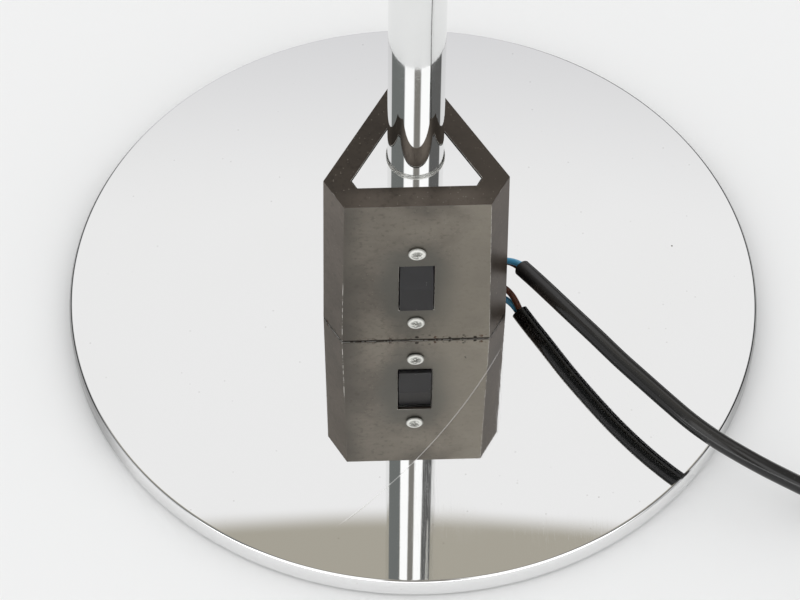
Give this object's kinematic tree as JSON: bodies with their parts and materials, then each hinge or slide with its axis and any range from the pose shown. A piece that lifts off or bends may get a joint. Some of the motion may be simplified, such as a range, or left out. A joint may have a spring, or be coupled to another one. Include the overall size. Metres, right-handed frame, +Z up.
{
  "type": "arc floor lamp",
  "caption": "Floor lamp with a chrome disc base, a three-sided switch housing round a straight stem, a swivelling arc and a tilting dome shade.",
  "frame": {"origin": "on the floor, at the centre of the base pad, on the stem axis", "axes": "+Z up the stem, +X towards the shade, -Y the housing face that carries the switch"},
  "size_m": [0.9968, 0.4167, 1.8746],
  "materials": {
    "chrome": "polished chrome plate",
    "shade_metal": "polished outside, white enamel inside",
    "gunmetal": "dark patinated metal, satin, worn bright at the edges",
    "steel": "plain zinc-plated",
    "nickel": "bright nickel plate",
    "brass": "plain",
    "black_plastic": "satin moulded",
    "black_pvc": "satin sheath",
    "clear_plastic": "clear",
    "nylon": "natural",
    "white_plastic": "moulded",
    "felt": "black felt",
    "blue_core": "insulation",
    "brown_core": "insulation",
    "glass": "opal frosted"
  },
  "bodies": {
    "base": {"base_bolt": "steel", "base_disc": "chrome", "base_pad": "felt", "base_washer": "steel", "cord_coil": "black_pvc", "cord_grommet": "black_pvc", "cord_run": "black_pvc", "cord_tail": "black_pvc", "cord_tie": "black_plastic", "foot_ring": "clear_plastic", "housing": "gunmetal", "housing_screw_lower": "nickel", "housing_screw_upper": "nickel", "lead_live": "brown_core", "lead_neutral": "blue_core", "lead_switched": "brown_core", "plate_collar": "steel", "plug_body": "black_plastic", "plug_pin_left": "nickel", "plug_pin_right": "nickel", "rocker_pin": "steel", "stem_cable": "black_pvc", "stem_coupler": "steel", "stem_foot": "steel", "stem_lower": "chrome", "stem_upper": "chrome", "switch_body": "black_plastic", "switch_bracket": "steel", "swivel_bush": "nylon", "swivel_head": "chrome", "terminal_block": "white_plastic", "terminal_live": "brass", "terminal_load": "brass", "top_plate": "chrome", "wire_blue": "blue_core", "wire_brown": "brown_core"},
    "rocker": {"rocker": "black_plastic"},
    "clamp_screw": {"clamp_screw": "chrome"},
    "arm": {"arc_tube": "chrome", "arc_cable": "black_pvc", "end_fitting": "chrome", "tilt_washer_left": "nylon", "tilt_washer_right": "nylon"},
    "shade_head": {"shade_fork": "chrome", "tilt_bolt": "nickel", "shade_cap": "chrome", "shade": "shade_metal", "shade_nipple": "brass", "lampholder_cap": "black_plastic", "lampholder_body": "black_plastic", "bulb_cap": "nickel", "bulb_glass": "glass"},
    "tilt_knob": {"tilt_knob": "chrome"}
  },
  "joints": [
    {"name": "rocker_tilt", "type": "hinge", "parent": "base", "child": "rocker", "pos_m": [0, -0.0241, 0.0511], "axis": [1, 0, 0], "range_deg": [0, 14]},
    {"name": "arm_swivel", "type": "hinge", "parent": "base", "child": "arm", "pos_m": [0, 0, 1.5203], "axis": [0, 0, 1], "range_deg": [-175, 175]},
    {"name": "clamp_turn", "type": "hinge", "parent": "base", "child": "clamp_screw", "pos_m": [0, 0, 1.4923], "axis": [-1, 0, 0], "range_deg": [0, 360]},
    {"name": "shade_tilt", "type": "hinge", "parent": "arm", "child": "shade_head", "pos_m": [0.69681, 0, 1.66261], "axis": [0, 1, 0], "range_deg": [-40, 40]},
    {"name": "tilt_knob_turn", "type": "hinge", "parent": "shade_head", "child": "tilt_knob", "pos_m": [0.69681, 0, 1.66261], "axis": [0, 1, 0], "range_deg": [0, 360]}
  ]
}
